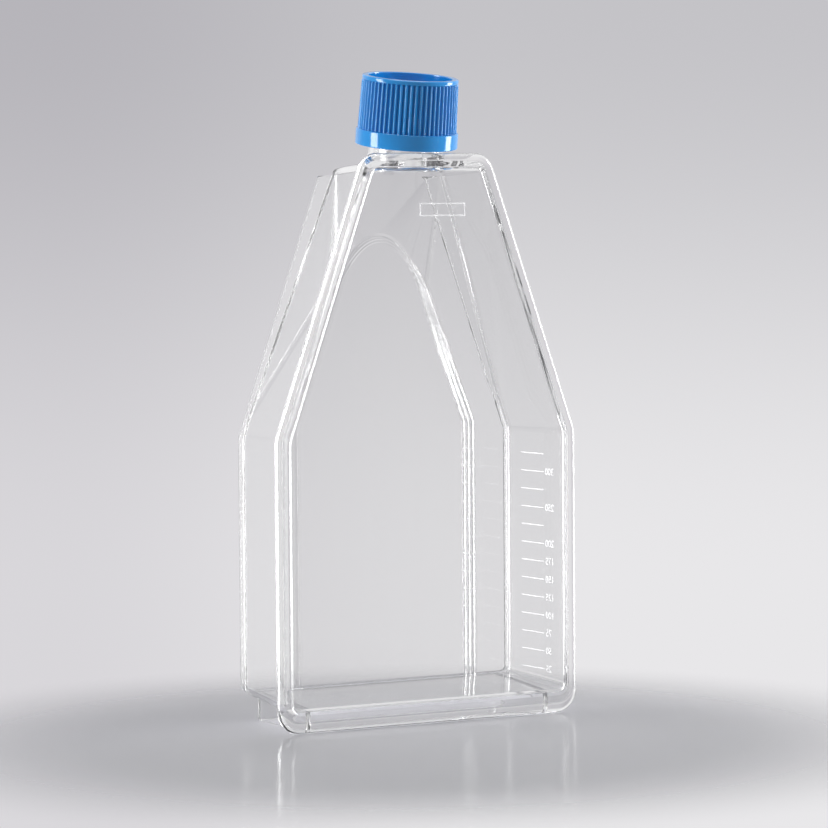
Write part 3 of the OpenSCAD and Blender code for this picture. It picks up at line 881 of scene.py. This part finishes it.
class FLASK_OT_stage(bpy.types.Operator):
    """Sets the table, the backdrop, the lamps and the camera"""
    bl_idname = "flask.stage"
    bl_label = "Stage"

    def execute(self, context):
        scene, c = context.scene, context.scene.flask_colours
        clear_selection()
        bpy.ops.mesh.primitive_circle_add(vertices=96, radius=0.3, fill_type="NGON")
        table = bpy.context.object
        table.name = "Table"
        table.data.materials.append(table_sheet(c))

        yaw, pitch, roll = math.radians(29.0), math.radians(3.12), math.radians(-0.43)
        back = Vector((-math.sin(yaw) * math.cos(pitch), -math.cos(yaw) * math.cos(pitch), math.sin(pitch)))
        aim = Vector((-6.62 * MM, FRONT, 109.1 * MM))
        right = (-back).cross(Vector((0, 0, 1))).normalized()
        up = right.cross(-back)
        side = math.cos(roll) * right + math.sin(roll) * up
        top = math.cos(roll) * up - math.sin(roll) * right
        place = Matrix((side, top, back)).transposed().to_4x4()
        place.translation = aim + back * 1.27573
        data = bpy.data.cameras.new("Camera")
        data.lens, data.sensor_width = 159.0, 36.0
        data.clip_start, data.clip_end = 0.01, 20
        camera = bpy.data.objects.new("Camera", data)
        scene.collection.objects.link(camera)
        camera.matrix_world = place
        scene.camera = camera

        forward = Vector((math.sin(yaw), math.cos(yaw), 0))
        across = Vector((math.cos(yaw), -math.sin(yaw), 0))
        self.backdrop(scene, c, forward, across)
        centre = Vector((0, 0, 0.12))
        up = Vector((0, 0, 0.05))
        self.lamp(scene, "Left softbox", centre - across * 0.9 - forward * 0.2 + up, centre, 0.3, 1.1, 10.0)
        self.lamp(scene, "Right softbox", centre + across * 0.9 + forward * 0.3 + up, centre, 0.3, 1.1, 10.0)
        fill = self.lamp(scene, "Right fill", centre + across * 0.9 - forward * 0.3 + up, centre, 0.3, 1.1, 5.0)
        fill.visible_glossy = fill.visible_transmission = False
        self.lamp(scene, "Top softbox", centre + Vector((0, 0, 1.1)), centre, 0.8, 0.5, 7.0)
        scene.view_settings.view_transform = "Standard"
        # Light that is guided along the clear walls leaves them only after many inner reflections.
        scene.cycles.max_bounces = scene.cycles.transmission_bounces = scene.cycles.glossy_bounces = 32
        scene.cycles.transparent_max_bounces = 16
        return {"FINISHED"}

    def lamp(self, scene, name, place, aim, width, height, power):
        data = bpy.data.lights.new(name, "AREA")
        data.shape, data.size, data.size_y, data.energy = "RECTANGLE", width, height, power
        lamp = bpy.data.objects.new(name, data)
        scene.collection.objects.link(lamp)
        lamp.location = place
        lamp.rotation_euler = (aim - place).to_track_quat("-Z", "Y").to_euler()
        lamp.visible_camera = False
        return lamp

    def backdrop(self, scene, c, forward, across):
        """A backdrop painted with a pool of light, lighter low down and darker up high and at its left end, between
        two pale screens in a plain room, and an even, weaker light from all round.
        """
        world = bpy.data.worlds.new("Studio")
        scene.world = world
        world.use_nodes = True
        t = world.node_tree
        t.nodes.clear()
        way = add_node(t, "ShaderNodeTexCoord")
        split = add_node(t, "ShaderNodeSeparateXYZ", inputs={"Vector": way.outputs["Generated"]})
        # Painted light: the backdrop is lighter near the table and darker up high, as where a pool of light falls on
        # it.
        height = add_node(t, "ShaderNodeMapRange", {"interpolation_type": "SMOOTHSTEP"}, {
            "Value": split.outputs["Z"], "From Min": -0.1, "From Max": 0.06})
        shade = add_node(t, "ShaderNodeMix", {"data_type": "RGBA"}, {
            0: height.outputs["Result"], 6: linear(c.backdrop_low), 7: linear(c.backdrop_high)})
        # Painted shade: the backdrop's left end is darkened by the shade colour, at the edge of the painted pool of
        # light.
        along = add_node(t, "ShaderNodeVectorMath", {"operation": "DOT_PRODUCT"}, {
            0: way.outputs["Generated"], 1: across})
        left = add_node(t, "ShaderNodeMapRange", {"interpolation_type": "SMOOTHSTEP"}, {
            "Value": along.outputs["Value"], "From Min": 0.02, "From Max": -0.1})
        painted_glow = add_node(t, "ShaderNodeMix", {"data_type": "RGBA", "blend_type": "MULTIPLY"}, {
            0: left.outputs["Result"], 6: shade.outputs[2], 7: linear(c.backdrop_edge)})
        behind = add_node(t, "ShaderNodeVectorMath", {"operation": "DOT_PRODUCT"}, {
            0: way.outputs["Generated"], 1: forward})
        shown, angles = painted_glow, ((9, 20, c.screens), (45, 65, c.room), (100, 150, c.room_front))
        for near, far, colour in angles:
            share = add_node(t, "ShaderNodeMapRange", {"interpolation_type": "SMOOTHSTEP"}, {
                "Value": behind.outputs["Value"], "From Min": math.cos(math.radians(near)),
                "From Max": math.cos(math.radians(far))})
            shown = add_node(t, "ShaderNodeMix", {"data_type": "RGBA"}, {
                0: share.outputs["Result"], 6: shown.outputs[2], 7: linear(colour)})
        seen = add_node(t, "ShaderNodeBackground", inputs={"Color": shown.outputs[2], "Strength": 1.0})
        light = add_node(t, "ShaderNodeBackground", inputs={"Color": (0.8, 0.81, 0.83, 1), "Strength": 0.2})
        path = add_node(t, "ShaderNodeLightPath")
        first = add_node(t, "ShaderNodeMath", {"operation": "MAXIMUM"}, {
            0: path.outputs["Is Camera Ray"], 1: path.outputs["Is Glossy Ray"]})
        direct = add_node(t, "ShaderNodeMath", {"operation": "MAXIMUM"}, {
            0: first.outputs[0], 1: path.outputs["Is Transmission Ray"]})
        mix = add_node(t, "ShaderNodeMixShader", inputs={
            0: direct.outputs[0], 1: light.outputs[0], 2: seen.outputs[0]})
        add_node(t, "ShaderNodeOutputWorld", inputs={"Surface": mix.outputs["Shader"]})


class FLASK_PT_panel(bpy.types.Panel):
    """Lists the pieces in the sidebar"""
    bl_idname = "FLASK_PT_panel"
    bl_label = "Cell culture flask"
    bl_space_type = "VIEW_3D"
    bl_region_type = "UI"
    bl_category = "Flask"

    def draw(self, context):
        for group in (context.scene.flask_sizes, context.scene.flask_colours):
            box = self.layout.box()
            for name in group.bl_rna.properties.keys():
                if name not in {"rna_type", "name"}:
                    box.prop(group, name)
        for operator in STEPS:
            self.layout.operator(operator.bl_idname)


STEPS = (FLASK_OT_top_plate, FLASK_OT_body, FLASK_OT_cap, FLASK_OT_marks, FLASK_OT_filter, FLASK_OT_stage)
CLASSES = (FlaskSizes, FlaskColours, *STEPS, FLASK_PT_panel)


def register():
    for cls in CLASSES:
        bpy.utils.register_class(cls)
    bpy.types.Scene.flask_sizes = bpy.props.PointerProperty(type=FlaskSizes)
    bpy.types.Scene.flask_colours = bpy.props.PointerProperty(type=FlaskColours)


def unregister():
    del bpy.types.Scene.flask_colours
    del bpy.types.Scene.flask_sizes
    for cls in reversed(CLASSES):
        bpy.utils.unregister_class(cls)


def main():
    register()
    bpy.ops.flask.top_plate()
    bpy.ops.flask.body()
    bpy.ops.flask.cap()
    bpy.ops.flask.marks()
    bpy.ops.flask.filter()
    bpy.ops.flask.stage()


if __name__ == "__main__":
    main()
